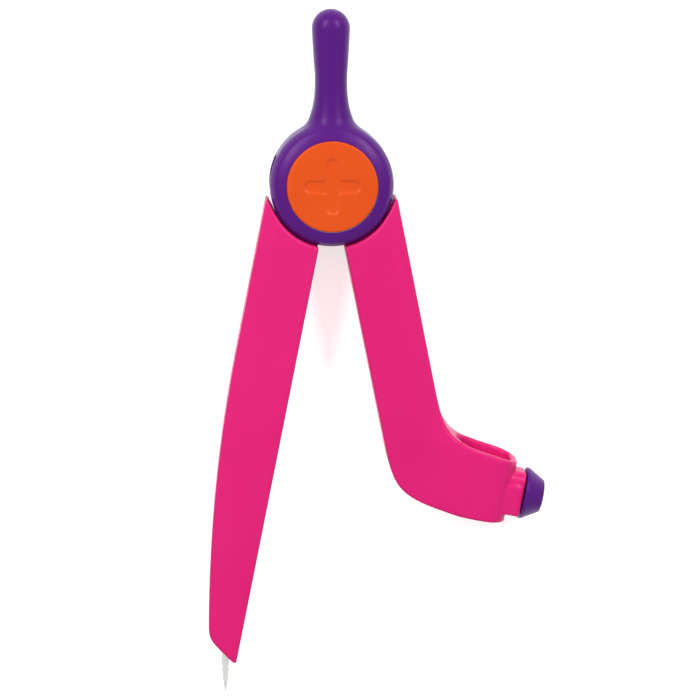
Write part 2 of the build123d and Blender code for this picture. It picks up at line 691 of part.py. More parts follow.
with BuildPart() as knob:
    with BuildSketch(screw_plane):
        with BuildLine():
            knob_tip = knob_face + KNOB_LENGTH
            dome_edge = (knob_tip - KNOB_ROUND / 2, KNOB_END_RADIUS)
            Polyline(
                (knob_face, SCREW_RADIUS + SEATED),
                (knob_face, KNOB_RADIUS),
                (knob_face + KNOB_ROUND, KNOB_RADIUS),
                dome_edge,
            )
            TangentArc((knob_tip, 0), dome_edge, tangent=(0, 1))
            Polyline(
                (knob_tip, 0),
                (knob_face + KNOB_GRIP + SEATED, 0),
                (knob_face + KNOB_GRIP + SEATED, SCREW_RADIUS + SEATED),
                (knob_face, SCREW_RADIUS + SEATED),
            )
        make_face()
    revolve(axis=screw_axis)
    rims = knob.edges().filter_by(GeomType.CIRCLE).sort_by(lambda edge: edge.radius)[-2:]
    fillet(rims, radius=KNOB_ROUND / 2)
    circles = knob.edges().filter_by(GeomType.CIRCLE)
    outer_end = circles.sort_by(lambda edge: abs(edge.radius - KNOB_END_RADIUS))[0]
    fillet(outer_end, radius=KNOB_ROUND)

with BuildPart() as pressure_pad:
    with BuildSketch(across_screw(pad_face)):
        Circle(PAD_RADIUS)
    extrude(amount=PAD_THICK)
    chamfer(pressure_pad.edges(), length=EDGE)
    with BuildSketch(across_screw(pad_back)):
        Circle(SPIGOT_RADIUS + RUNNING)
    extrude(amount=-SPIGOT_LENGTH, mode=Mode.SUBTRACT)

# ---------------------------------------------------------------- one file for each piece
pieces = {
    "handle_housing": handle_housing,
    "front_cap": front_cap,
    "rear_cap": rear_cap,
    "pivot_pin": pivot_pin,
    "retaining_washer": retaining_washer,
    "disc_spring": disc_spring,
    "middle_washer": middle_washer,
    "front_washer": front_washer,
    "needle_leg": needle_leg,
    "needle_ferrule": needle_ferrule,
    "needle": needle,
    "pencil_leg": pencil_leg,
    "clamp_nut": clamp_nut,
    "clamp_screw": clamp_screw,
    "knob": knob,
    "pressure_pad": pressure_pad,
}
os.makedirs("parts", exist_ok=True)
for name, piece in pieces.items():
    piece.part.label = name
    export_step(piece.part, f"parts/{name}.step")
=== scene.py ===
# %% [markdown]
# # A school compass, from exact solids to finished looks
#
# The exact solids of the compass come in as a fixed frame, and this script gives them their looks: softly rounded
# mouldings, satin plastic, turned steel, a white table and soft studio light. It is written as a lesson, one small
# step to a cell. Everything is in metres, with the hinge on the Z axis, the handle towards +Y and the pencil leg
# towards +X. Shapes are drawn in millimetres, as a workshop would, and MM brings them back to metres.

# %% Load the frame
import json
import math

import bmesh
import bpy
from mathutils import Matrix, Vector


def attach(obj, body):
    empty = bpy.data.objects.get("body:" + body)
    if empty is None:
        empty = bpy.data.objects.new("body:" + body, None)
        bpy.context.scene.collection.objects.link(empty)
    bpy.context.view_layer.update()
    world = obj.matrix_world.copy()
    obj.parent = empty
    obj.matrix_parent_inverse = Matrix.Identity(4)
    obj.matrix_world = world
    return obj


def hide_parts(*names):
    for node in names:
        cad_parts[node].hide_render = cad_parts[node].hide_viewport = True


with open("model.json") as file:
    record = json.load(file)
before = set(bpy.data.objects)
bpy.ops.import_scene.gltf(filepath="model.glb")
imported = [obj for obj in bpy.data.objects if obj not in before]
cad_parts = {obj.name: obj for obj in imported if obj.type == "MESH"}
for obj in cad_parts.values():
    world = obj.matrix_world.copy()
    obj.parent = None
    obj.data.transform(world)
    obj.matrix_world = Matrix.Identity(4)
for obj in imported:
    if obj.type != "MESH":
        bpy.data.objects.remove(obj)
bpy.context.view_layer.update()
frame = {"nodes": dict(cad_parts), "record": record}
MM = 0.001

# %% [markdown]
# ## The camera
#
# A long lens keeps the shape almost free of perspective. The camera stands a little above the handle's end, so it
# sees a narrow strip of every side that faces the handle. A camera in Blender looks along its own -Z with +Y up, so
# the three directions are written as the columns of its matrix.

# %% Camera
CAMERA_PLACE = (-0.040908, 0.109405, 0.791832)
CAMERA_TARGET = (0.004345, -0.038891, 0.007)
CAMERA_LENS = 178.54            # millimetres, with a sensor 36 mm wide


def facing(place, target):
    """A matrix for something that stands at place, looks at target and has the compass's +Y upwards."""
    back = (Vector(place) - Vector(target)).normalized()
    right = Vector((0, 1, 0)).cross(back).normalized()
    turned = Matrix((right, back.cross(right), back)).transposed().to_4x4()
    return Matrix.Translation(place) @ turned


def add_camera(place, target, lens):
    """A camera with this lens in millimetres."""
    data = bpy.data.cameras.new("camera")
    data.lens = lens
    data.sensor_width = 36
    data.clip_start = 0.05
    data.clip_end = 20
    camera = bpy.data.objects.new("camera", data)
    camera.matrix_world = facing(place, target)
    bpy.context.scene.collection.objects.link(camera)
    bpy.context.scene.camera = camera
    return camera


camera = add_camera(CAMERA_PLACE, CAMERA_TARGET, CAMERA_LENS)
print("camera stands", round(camera.location.length, 3), "m from the hinge, lens", camera.data.lens, "mm")

# %% [markdown]
# ## The table
#
# The compass lies on a plain white table. The camera sees the table a little brighter than the lamps make it, so
# bare table is pure white while a soft shadow under the compass stays. That extra light is only for rays that come
# from the camera or from a mirror-like surface, so it doesn't brighten the compass itself.

# %% Tools for paint and light
def new_material(name):
    """An empty node material, its node tree and its output node."""
    material = bpy.data.materials.new(name)
    material.use_nodes = True
    tree = material.node_tree
    tree.nodes.clear()
    return material, tree, tree.nodes.new("ShaderNodeOutputMaterial")


def combined(tree, operation, first, second):
    """Two values put together by a Math node. The second may be a plain number."""
    node = tree.nodes.new("ShaderNodeMath")
    node.operation = operation
    tree.links.new(first, node.inputs[0])
    if isinstance(second, float):
        node.inputs[1].default_value = second
    else:
        tree.links.new(second, node.inputs[1])
    return node.outputs[0]


def seen_directly(tree):
    """1 for rays from the camera, a reflection or glass, 0 for light that falls on the compass."""
    rays = tree.nodes.new("ShaderNodeLightPath").outputs
    seen = combined(tree, "MAXIMUM", rays["Is Camera Ray"], rays["Is Glossy Ray"])
    return combined(tree, "MAXIMUM", seen, rays["Is Transmission Ray"])


print("tools for paint and light ready")

# %% [markdown]
# The table itself is one flat square, a tenth of a millimetre under the compass so that the two never flicker through
# each other. Its paint is plain diffuse white, and the extra light is added to what the paint sends back.

# %% Table
TABLE_WHITE = (0.86, 0.86, 0.86, 1)
TABLE_GLOW = 0.66               # strength of the extra light
TABLE_WIDTH = 6.0               # metres
TABLE_DROP = 0.0001             # air under the compass, in metres


def table_material():
    """White paint, with a little light of its own towards the camera."""
    material, tree, output = new_material("table_white")
    paint = tree.nodes.new("ShaderNodeBsdfDiffuse")
    paint.inputs["Color"].default_value = TABLE_WHITE
    glow = tree.nodes.new("ShaderNodeEmission")
    glow.inputs["Color"].default_value = (1, 1, 1, 1)
    tree.links.new(combined(tree, "MULTIPLY", seen_directly(tree), TABLE_GLOW), glow.inputs["Strength"])
    both = tree.nodes.new("ShaderNodeAddShader")
    tree.links.new(paint.outputs[0], both.inputs[0])
    tree.links.new(glow.outputs[0], both.inputs[1])
    tree.links.new(both.outputs[0], output.inputs["Surface"])
    return material


def add_table(width, drop):
    """A flat square of table, just under the compass."""
    mesh = bpy.data.meshes.new("table")
    half = width / 2
    corners = [(-half, -half, -drop), (half, -half, -drop), (half, half, -drop), (-half, half, -drop)]
    mesh.from_pydata(corners, [], [(0, 1, 2, 3)])
    mesh.materials.append(table_material())
    table = bpy.data.objects.new("table", mesh)
    bpy.context.scene.collection.objects.link(table)
    return table


table = add_table(TABLE_WIDTH, TABLE_DROP)
print("table is", table.dimensions.x, "m wide")

# %% [markdown]
# ## The surroundings
#
# A pale room lights the compass softly from all round. Like the table, it is shown brighter than it shines: the
# light that it throws is less than half of what the camera or a reflection sees of it.

# %% Surroundings
AMBIENT = 0.46                  # strength of the light from all round


def pale_room(strength):
    """A world that lights with this strength and is seen at full strength."""
    world = bpy.data.worlds.new("studio")
    world.use_nodes = True
    tree = world.node_tree
    tree.nodes.clear()
    room = tree.nodes.new("ShaderNodeMixShader")
    tree.links.new(seen_directly(tree), room.inputs["Fac"])
    for place, brightness in ((1, strength), (2, 1.0)):
        light = tree.nodes.new("ShaderNodeBackground")
        light.inputs["Strength"].default_value = brightness
        tree.links.new(light.outputs[0], room.inputs[place])
    tree.links.new(room.outputs[0], tree.nodes.new("ShaderNodeOutputWorld").inputs["Surface"])
    return world


bpy.context.scene.world = pale_room(AMBIENT)
bpy.context.scene.view_settings.view_transform = "Standard"
print("surroundings shine at", AMBIENT)

# %% [markdown]
# ## The lamps
#
# Two long soft boxes stand on either side of the handle and run along it. A long box paints a streak instead of a
# spot: it shows wherever the flare of the handle tilts towards it. The boxes end short of the legs, so the straight
# part of the stem and the flat fronts stay free of glare. Their power is spread over their area, so a larger box at
# the same power is a weaker mirror image.

# %% Lamps
MIDDLE_OF_COMPASS = (0.0, -0.02, 0.007)
SOFTBOXES = [                   # name, place, width and length in metres, power in watts
    ("softbox_left", (-0.50, 0.46, 0.70), 0.20, 0.56, 4.6),
    ("softbox_right", (0.50, 0.44, 0.70), 0.17, 0.52, 3.7),
]


def add_softbox(name, place, width, length, power):
    """A rectangular area lamp, long along the compass, that faces its middle."""
    data = bpy.data.lights.new(name, "AREA")
    data.shape = "RECTANGLE"
    data.size = width
    data.size_y = length
    data.energy = power
    lamp = bpy.data.objects.new(name, data)
    lamp.matrix_world = facing(place, MIDDLE_OF_COMPASS)
    bpy.context.scene.collection.objects.link(lamp)
    return lamp


lamps = [add_softbox(*softbox) for softbox in SOFTBOXES]
print("lamps:", [(lamp.name, lamp.data.energy) for lamp in lamps])

# %% [markdown]
# ## Small tools for finishes
#
# Every finish here is worked out from Object coordinates, which are the metres of the model itself, so a pattern
# stays on its piece when a joint moves. Three helpers do most of the wiring: a noise of a given grain, a change of
# range, and a mix of two colours.

# %% Tools for finishes
def grain(tree, size, detail=2.0, stretch=(1, 1, 1)):
    """Noise whose spots are about size millimetres across, stretched by these factors."""
    place = tree.nodes.new("ShaderNodeTexCoord")
    scale = tree.nodes.new("ShaderNodeMapping")
    scale.inputs["Scale"].default_value = [1 / (size * MM * factor) for factor in stretch]
    noise = tree.nodes.new("ShaderNodeTexNoise")
    noise.inputs["Scale"].default_value = 1.0
    noise.inputs["Detail"].default_value = detail
    tree.links.new(place.outputs["Object"], scale.inputs["Vector"])
    tree.links.new(scale.outputs["Vector"], noise.inputs["Vector"])
    return noise.outputs["Fac"]


def spread(tree, value, given, wanted=(0.0, 1.0)):
    """Move the given range of numbers onto the wanted one, and clip what falls outside."""
    node = tree.nodes.new("ShaderNodeMapRange")
    for place, number in enumerate((*given, *wanted), start=1):
        node.inputs[place].default_value = number
    tree.links.new(value, node.inputs["Value"])
    return node.outputs["Result"]


def mixed(tree, amount, first, second):
    """A mix of two colours, each an RGB triple or a socket."""
    node = tree.nodes.new("ShaderNodeMix")
    node.data_type = "RGBA"
    tree.links.new(amount, node.inputs["Factor"])
    for place, colour in ((6, first), (7, second)):
        if isinstance(colour, tuple):
            node.inputs[place].default_value = (*colour, 1)
        else:
            tree.links.new(colour, node.inputs[place])
    return node.outputs[2]


print("pattern tools ready")

# %% [markdown]
# Two more helpers work on the surface's direction. Bumps tilt it a little without moving it, which is enough for pits
# that are far smaller than a wall. Edges are found by comparing the true direction with that of a surface whose
# edges have been rounded off: they only disagree near an edge.

# %% Tools for bumps and edges
def bumps(tree, height, depth):
    """A normal for bumps of this many millimetres, from a height between 0 and 1."""
    node = tree.nodes.new("ShaderNodeBump")
    node.inputs["Strength"].default_value = 1.0
    node.inputs["Distance"].default_value = depth * MM
    tree.links.new(height, node.inputs["Height"])
    return node.outputs["Normal"]


def along_edges(tree, reach):
    """0 on open surfaces and up to 1 on edges, felt out over this many millimetres."""
    rounded = tree.nodes.new("ShaderNodeBevel")
    rounded.samples = 4
    rounded.inputs["Radius"].default_value = reach * MM
    surface = tree.nodes.new("ShaderNodeNewGeometry")
    agree = tree.nodes.new("ShaderNodeVectorMath")
    agree.operation = "DOT_PRODUCT"
    tree.links.new(rounded.outputs[0], agree.inputs[0])
    tree.links.new(surface.outputs["Normal"], agree.inputs[1])
    return spread(tree, agree.outputs["Value"], (1.0, 0.85))


print("tools for bumps and edges ready")

# %% [markdown]
# ## Moulded plastic
#
# The handle, the legs, the caps and the knob are injection mouldings. Their colour goes all the way through, with a
# faint drift where the melt flowed. The steel mould was spark eroded, which leaves a skin of shallow pits a third of
# a millimetre across, so the shine is satin and not a mirror. Fingers and pencil cases polish the edges and leave
# them a little paler, and that paler edge is also painted highlight: it stands in for the thin lines of light that
# the rounded edges catch. One function makes all the colours, because only the numbers differ.

# %% Moulded plastic
def moulded_plastic(name, colour, deep, pale, tint, wear_and_highlight_range=(0.0, 0.4), roughness=0.34):
    """Satin moulding: colour drifts between colour and deep, edges go pale from wear and painted highlight, and the
    shine is tinted.
    """
    material, tree, output = new_material(name)
    skin = tree.nodes.new("ShaderNodeBsdfPrincipled")
    skin.inputs["IOR"].default_value = 1.49
    skin.inputs["Specular IOR Level"].default_value = 0.24
    skin.inputs["Specular Tint"].default_value = (*tint, 1)
    drift = spread(tree, grain(tree, size=22.0, detail=3.0), (0.3, 0.7))
    body = mixed(tree, drift, colour, deep)
    # Edges turn towards pale in patches: partly wear, partly a painted highlight along the edges.
    patchy_wear_and_highlight = spread(tree, grain(tree, size=3.5, detail=4.0), (0.45, 0.75), wear_and_highlight_range)
    edge_wear_and_highlight = combined(tree, "MULTIPLY", along_edges(tree, reach=0.35), patchy_wear_and_highlight)
    tree.links.new(mixed(tree, edge_wear_and_highlight, body, pale), skin.inputs["Base Color"])
    handled = spread(tree, grain(tree, size=6.0, detail=5.0), (0.35, 0.7), (roughness - 0.04, roughness + 0.07))
    tree.links.new(handled, skin.inputs["Roughness"])
    tree.links.new(bumps(tree, grain(tree, size=0.32, detail=3.0), depth=0.004), skin.inputs["Normal"])
    tree.links.new(skin.outputs[0], output.inputs["Surface"])
    return material


# Each pale colour is edge wear and painted edge highlight together.
purple = moulded_plastic("purple_moulding", colour=(0.104, 0.0095, 0.232), deep=(0.088, 0.0075, 0.202),
                         pale=(0.18, 0.045, 0.34), tint=(1.0, 0.62, 0.85))
# The orange's strong pale edge paints a highlight line round the cap's rim, on top of any wear.
orange = moulded_plastic("orange_moulding", colour=(0.86, 0.10, 0.010), deep=(0.80, 0.082, 0.007),
                         pale=(1.0, 0.36, 0.22), tint=(1.0, 0.9, 0.8), wear_and_highlight_range=(0.35, 0.75))
pink = moulded_plastic("pink_moulding", colour=(0.84, 0.016, 0.205), deep=(0.79, 0.013, 0.185),
                       pale=(0.90, 0.09, 0.30), tint=(1.0, 0.8, 0.9))
print("mouldings:", purple.name, orange.name, pink.name)

# %% [markdown]
# ## Turned steel and nylon
#
# The needle, its ferrule, the hinge pin, the washers, the nut and the screw are steel. It is metal, so its colour is
# in its reflection. Turning leaves fine lines, which are noise squeezed hard along one direction. The two hinge
# washers and the clamp's pad are milky nylon, with the same shallow pits as the mouldings but coarser.

# %% Steel and nylon
STEEL_BRIGHT, STEEL_DULL = (0.87, 0.88, 0.84), (0.77, 0.78, 0.75)
NYLON_PALE, NYLON_DEEP = (0.80, 0.79, 0.74), (0.72, 0.70, 0.64)


def turned_steel(name):
    """Bright turned steel with fine tool lines and a few duller patches."""
    material, tree, output = new_material(name)
    metal = tree.nodes.new("ShaderNodeBsdfPrincipled")
    metal.inputs["Metallic"].default_value = 1.0
    patches = spread(tree, grain(tree, size=2.5, detail=4.0), (0.35, 0.7))
    tree.links.new(mixed(tree, patches, STEEL_BRIGHT, STEEL_DULL), metal.inputs["Base Color"])
    tree.links.new(spread(tree, patches, (0.0, 1.0), (0.28, 0.42)), metal.inputs["Roughness"])
    lines = grain(tree, size=0.12, detail=2.0, stretch=(6, 1, 6))
    tree.links.new(bumps(tree, lines, depth=0.0004), metal.inputs["Normal"])
    tree.links.new(metal.outputs[0], output.inputs["Surface"])
    return material


def nylon(name):
    """Milky nylon, a little yellower in clouds."""
    material, tree, output = new_material(name)
    skin = tree.nodes.new("ShaderNodeBsdfPrincipled")
    skin.inputs["IOR"].default_value = 1.53
    cloud = spread(tree, grain(tree, size=3.0, detail=3.0), (0.3, 0.7))
    tree.links.new(mixed(tree, cloud, NYLON_PALE, NYLON_DEEP), skin.inputs["Base Color"])
    tree.links.new(spread(tree, cloud, (0.0, 1.0), (0.42, 0.52)), skin.inputs["Roughness"])
    tree.links.new(bumps(tree, grain(tree, size=0.4, detail=3.0), depth=0.006), skin.inputs["Normal"])
    tree.links.new(skin.outputs[0], output.inputs["Surface"])
    return material


steel = turned_steel("turned_steel")
milky = nylon("milky_nylon")
print("metal and washers:", steel.name, milky.name)

# %% [markdown]
# ## Writing a shape as a formula
#
# A soft moulding has no flat faces to start from: its curves run into each other. Such a shape is easiest to write
# as one formula that says, for every point of space, how far that point lies inside or outside the plastic. The
# lower of two such numbers joins two shapes and the higher keeps what they share. A soft lower or higher rounds the
# seam between them, as the melt does. Geometry Nodes can work that formula out on a fine grid and draw the skin
# where it is zero, which gives even, closed meshes. This class lets the formula be written in plain Python.

# %% Formulas in Geometry Nodes
class Formula:
    """A number that the node tree works out at every point, in millimetres."""

    def __init__(self, tree, socket):
        self.tree = tree
        self.socket = socket

    def math(self, operation, *others):
        """This number and the others, put together by a Math node."""
        node = self.tree.nodes.new("ShaderNodeMath")
        node.operation = operation
        for place, value in enumerate((self, *others)):
            if isinstance(value, Formula):
                self.tree.links.new(value.socket, node.inputs[place])
            else:
                node.inputs[place].default_value = value
        return Formula(self.tree, node.outputs[0])

    def __add__(self, other):
        return self.math("ADD", other)

    def __sub__(self, other):
        return self.math("SUBTRACT", other)

    def __mul__(self, other):
        return self.math("MULTIPLY", other)

    def __neg__(self):
        return self.math("MULTIPLY", -1)

    def size(self):
        """The number without its sign, which mirrors a shape about zero."""
        return self.math("ABSOLUTE")

    def above(self, other):
        """The higher of two numbers: what two shapes share."""
        return self.math("MAXIMUM", other)

    def below(self, other):
        """The lower of two numbers: two shapes joined."""
        return self.math("MINIMUM", other)

    def soft_above(self, other, width):
        """As above, with the seam rounded over this width."""
        return self.math("SMOOTH_MAX", other, width)

    def soft_below(self, other, width):
        """As below, with the seam rounded over this width."""
        return self.math("SMOOTH_MIN", other, width)

    def with_leg(self, other):
        """Long side of a right triangle with these two legs."""
        return (self * self + other * other).math("SQRT")


def where(condition, yes, no):
    """The first formula where the condition is 1, and the second where it is 0."""
    return no + (yes - no) * condition


def rounded_box(across, upward, half_width, half_height, corner):
    """Distance to a rectangle with rounded corners."""
    beside = across.size() - half_width + corner
    over = upward.size() - half_height + corner
    return beside.above(0.0).with_leg(over.above(0.0)) + beside.above(over).below(0.0) - corner


print("operations:", [name for name in vars(Formula) if not name.startswith("__")])

# %% [markdown]
# ## From formula to mesh
#
# Each moulding gets a tree of its own. It starts with one named input for each size and with the point's own x, y
# and z, which Blender gives in metres.

# %% Starting a shape
def start_shape(name, sizes):
    """A new tree, its sizes as formulas, and x, y, z in millimetres."""
    tree = bpy.data.node_groups.new(name, "GeometryNodeTree")
    tree.interface.new_socket("Geometry", in_out="OUTPUT", socket_type="NodeSocketGeometry")
    given = tree.nodes.new("NodeGroupInput")
    for label in sizes:
        tree.interface.new_socket(label, in_out="INPUT", socket_type="NodeSocketFloat")
    inputs = {label: Formula(tree, given.outputs[label]) for label in sizes}
    to_mm = tree.nodes.new("ShaderNodeVectorMath")
    to_mm.operation = "SCALE"
    to_mm.inputs["Scale"].default_value = 1 / MM
    tree.links.new(tree.nodes.new("GeometryNodeInputPosition").outputs[0], to_mm.inputs[0])
    split = tree.nodes.new("ShaderNodeSeparateXYZ")
    tree.links.new(to_mm.outputs[0], split.inputs[0])
    return tree, inputs, [Formula(tree, output) for output in split.outputs]


print("a shape starts from a point in", MM, "m")

# %% [markdown]
# The tree ends with a cube of voxels, the skin drawn through it, and the finish. The modifier's inputs are set by
# each socket's identifier, because two sockets could share a name. Once evaluated, the result is copied into a plain
# mesh, so no live modifier is left.

# %% Growing a mesh
def grow_shape(name, solid, sizes, low, high, voxel, finish):
    """Draw the skin of a formula inside the box from low to high and keep it as a mesh object."""
    tree = solid.tree
    cube = tree.nodes.new("GeometryNodeVolumeCube")
    tree.links.new((-solid).socket, cube.inputs["Density"])
    cube.inputs["Background"].default_value = -1.0
    cube.inputs["Min"].default_value = [value * MM for value in low]
    cube.inputs["Max"].default_value = [value * MM for value in high]
    for axis, start, end in zip("XYZ", low, high):
        cube.inputs["Resolution " + axis].default_value = round((end - start) / voxel)
    skin = tree.nodes.new("GeometryNodeVolumeToMesh")
    skin.inputs["Threshold"].default_value = 0.0
    real = tree.nodes.new("GeometryNodeRealizeInstances")
    painted = tree.nodes.new("GeometryNodeSetMaterial")
    painted.inputs["Material"].default_value = finish
    tree.links.new(cube.outputs[0], skin.inputs[0])
    tree.links.new(skin.outputs[0], real.inputs[0])
    tree.links.new(real.outputs[0], painted.inputs["Geometry"])
    tree.links.new(painted.outputs[0], tree.nodes.new("NodeGroupOutput").inputs[0])
    piece = bpy.data.objects.new(name, bpy.data.meshes.new(name))
    bpy.context.scene.collection.objects.link(piece)
    modifier = piece.modifiers.new("shape", "NODES")
    modifier.node_group = tree
    for item in tree.interface.items_tree:
        if item.in_out == "INPUT":
            modifier[item.identifier] = sizes[item.name]
    settle(piece)
    print(name, "grown:", len(piece.data.polygons), "faces")
    return piece


def settle(piece):
    """Replace a piece's mesh by what its modifiers make of it, and drop the modifiers."""
    depsgraph = bpy.context.evaluated_depsgraph_get()
    mesh = bpy.data.meshes.new_from_object(piece.evaluated_get(depsgraph), depsgraph=depsgraph)
    piece.modifiers.clear()
    piece.data = mesh


print("growing tools ready")

# %% [markdown]
# ## Cutting clean holes
#
# Drilled holes and the seats of other parts have sharp rims, which a grid of voxels would blur. They are cut
# afterwards with Boolean modifiers. Each cutter is turned on a lathe in code: a list of radius and height pairs is
# spun round an axis, and both ends close on the axis.

# %% Cutters
def turned_cutter(profile, place=Matrix(), steps=96):
    """A closed turned solid from (radius, height) pairs in millimetres, moved by place."""
    shape = bmesh.new()
    rings = []
    for radius, height in profile:
        if radius == 0:
            rings.append([shape.verts.new((0, 0, height))])
        else:
            turns = (2 * math.pi * step / steps for step in range(steps))
            rings.append([shape.verts.new((radius * math.cos(t), radius * math.sin(t), height)) for t in turns])
    for lower, upper in zip(rings, rings[1:]):
        for step in range(steps):
            after = (step + 1) % steps
            if len(lower) == 1:
                corners = (lower[0], upper[after], upper[step])
            elif len(upper) == 1:
                corners = (lower[step], lower[after], upper[0])
            else:
                corners = (lower[step], lower[after], upper[after], upper[step])
            shape.faces.new(corners)
    return cutter_object(shape, place)


def drill(radius, start, end, place=Matrix(), steps=96):
    """A plain round cutter between two heights in millimetres."""
    return turned_cutter([(0, start), (radius, start), (radius, end), (0, end)], place, steps)


def box_cutter(low, high, place=Matrix()):
    """A plain box between two corners in millimetres, moved by place."""
    shape = bmesh.new()
    middle = Matrix.Translation((Vector(low) + Vector(high)) / 2)
    sides = Matrix.Diagonal(Vector(high) - Vector(low)).to_4x4()
    bmesh.ops.create_cube(shape, size=1, matrix=middle @ sides)
    return cutter_object(shape, place)


def cutter_object(shape, place):
    """Turn a bmesh in millimetres into an object in metres, with its faces outwards."""
    bmesh.ops.recalc_face_normals(shape, faces=shape.faces)
    mesh = bpy.data.meshes.new("cutter")
    shape.to_mesh(mesh)
    shape.free()
    mesh.transform(Matrix.Diagonal((MM, MM, MM, 1)) @ place)
    cutter = bpy.data.objects.new("cutter", mesh)
    bpy.context.scene.collection.objects.link(cutter)
    return cutter


print("cutters are turned in", turned_cutter.__defaults__[1], "steps")

# %% [markdown]
# The Boolean modifiers use the manifold solver, which is quick and exact on closed meshes like these. Then the whole
# piece is shaded smooth, and only edges that turn a lot, which are the rims just cut, are marked sharp.

# %% Cutting
SHARP = math.radians(50)        # edges that turn by more than this stay sharp


def cut_away(piece, cutters):
    """Cut these solids out of a piece, smooth it and keep the new rims sharp."""
    for cutter in cutters:
        modifier = piece.modifiers.new("cut", "BOOLEAN")
        modifier.operation = "DIFFERENCE"
        modifier.solver = "MANIFOLD"
        modifier.object = cutter
    settle(piece)
    for cutter in cutters:
        bpy.data.objects.remove(cutter)
    piece.data.shade_smooth()
    piece.data.set_sharp_from_angle(angle=SHARP)
    triangles = sum(len(face.vertices) - 2 for face in piece.data.polygons)
    print(piece.name, triangles, "triangles after", len(cutters), "cuts")


print("edges sharper than", round(math.degrees(SHARP)), "degrees stay sharp")

# %% [markdown]
# ## The handle
#
# The handle is one moulding: a fat disc that is forked to take the legs, and a stem that flares out of it. Seen
# edge on, the disc has a nearly upright side, a slope up to a soft crease, and a slightly swollen face. That outline
# is turned round the hinge. The stem's half width comes from a Float Curve, so the waist and the bulb can be shaped
# like a drawing. Its edges are as round as its width allows, and it thickens towards the disc.
#
# A Float Curve works between 0 and 1, so heights and widths are scaled into that range and back. Below its first
# point it would run on, so the value that goes in is held at the start.

# %% Handle's stem
MIDDLE = 7.0                    # height of the middle of the compass's thickness
STEM_START, STEM_END = 8, 40    # where the stem's curves begin and end, along the handle
CURVE_TOP = 12                  # a half width that would fill the curve's whole height
SLOPE_STEP = 0.2                # distance between two readings of the width, to find its slope
FLAT_SIDE = 0.4                 # half width that the rounding leaves flat
STEM_ROOT = 4.0                 # the stem begins inside the disc
STEM_HALF_WIDTH = [(8, 10.6), (10.6, 7.75), (12.6, 6.05), (16.2, 4.5), (19.5, 3.82), (23.3, 3.6), (29, 3.93),
                   (35.4, 4.3), (40, 4.3)]
STEM_HALF_THICKNESS = [(8, 5.8), (11, 5.72), (13, 5.5), (15.5, 5.08), (18, 4.74), (21, 4.54), (24, 4.5), (40, 4.5)]


def along_stem(value, points):
    """A smooth curve through (distance along the handle, half width) points."""
    tree = value.tree
    length = STEM_END - STEM_START
    node = tree.nodes.new("ShaderNodeFloatCurve")
    line = node.mapping.curves[0]
    while len(line.points) < len(points):
        line.points.new(0, 0)
    for point, (along, half) in zip(line.points, points):
        point.location = ((along - STEM_START) / length, half / CURVE_TOP)
        point.handle_type = "AUTO"
    node.mapping.update()
    tree.links.new(((value - STEM_START).above(0.0) * (1 / length)).socket, node.inputs["Value"])
    return Formula(tree, node.outputs["Value"]) * CURVE_TOP


def stem_shape(side, y, height, size):
    """Distance to the stem, from the middle plane, the hinge and the middle of the thickness."""
    width = along_stem(y, STEM_HALF_WIDTH)
    thickness = along_stem(y, STEM_HALF_THICKNESS)
    slope = (along_stem(y + SLOPE_STEP, STEM_HALF_WIDTH) - width) * (1 / SLOPE_STEP)
    flank = (side - width) * (slope * slope + 1.0).math("INVERSE_SQRT")
    past_bulb = y.math("GREATER_THAN", size["Bulb centre"])
    bulb = side.with_leg(y - size["Bulb centre"]) - size["Bulb radius"]
    rounding = (width - FLAT_SIDE).below(size["Stem rounding"])
    across = flank + (bulb - flank) * past_bulb + rounding
    upward = height - thickness + rounding
    stem = across.above(0.0).with_leg(upward.above(0.0)) + across.above(upward).below(0.0) - rounding
    return stem.above(-y + STEM_ROOT)


print("stem is", 2 * min(width for along, width in STEM_HALF_WIDTH), "mm wide at its waist")

# %% [markdown]
# The disc's swollen face is part of a ring's section, its slope is a cone, and the slot for the legs has sloping
# ends that stop them. Everything is joined with soft seams. The thickness is mirrored about its middle, so
# the formula only has to describe the front.

# %% Handle
FACE_RING, FACE_SUNK, FACE_ARC = 8.58, 1.93, 9.04   # the swollen face: its arc's place, depth and radius
SLOPE_OUT, SLOPE_UP = 0.861, 0.509                  # the way the slope beside the crease faces
DRAFT_TOP = 10.4                                    # below this height the upright side leans inwards
STOP_LEVEL, STOP_HALF_WIDTH = 9.32, 3.03            # where the slot's sloping ends start
STOP_TANGENT, STOP_COSINE = 0.3249, 0.951           # they slope by 18 degrees
CREASE_SEAM, SIDE_SEAM, SLOT_SEAM = 0.45, 0.7, 0.25

handle_sizes = {
    "Head radius": 14.14, "Crease radius": 13.1, "Half thickness": 7.0, "Crease drop": 1.1, "Bulb centre": 35.4,
    "Bulb radius": 4.3, "Stem rounding": 4.5, "Slot half height": 3.2, "Pocket radius": 9.8, "Seam": 2.0,
    "Side draft": 0.02,
}
tree, size, (x, y, z) = start_shape("handle_shape", handle_sizes)
side = x.size()
height = (z - MIDDLE).size()
reach = x.with_leg(y)

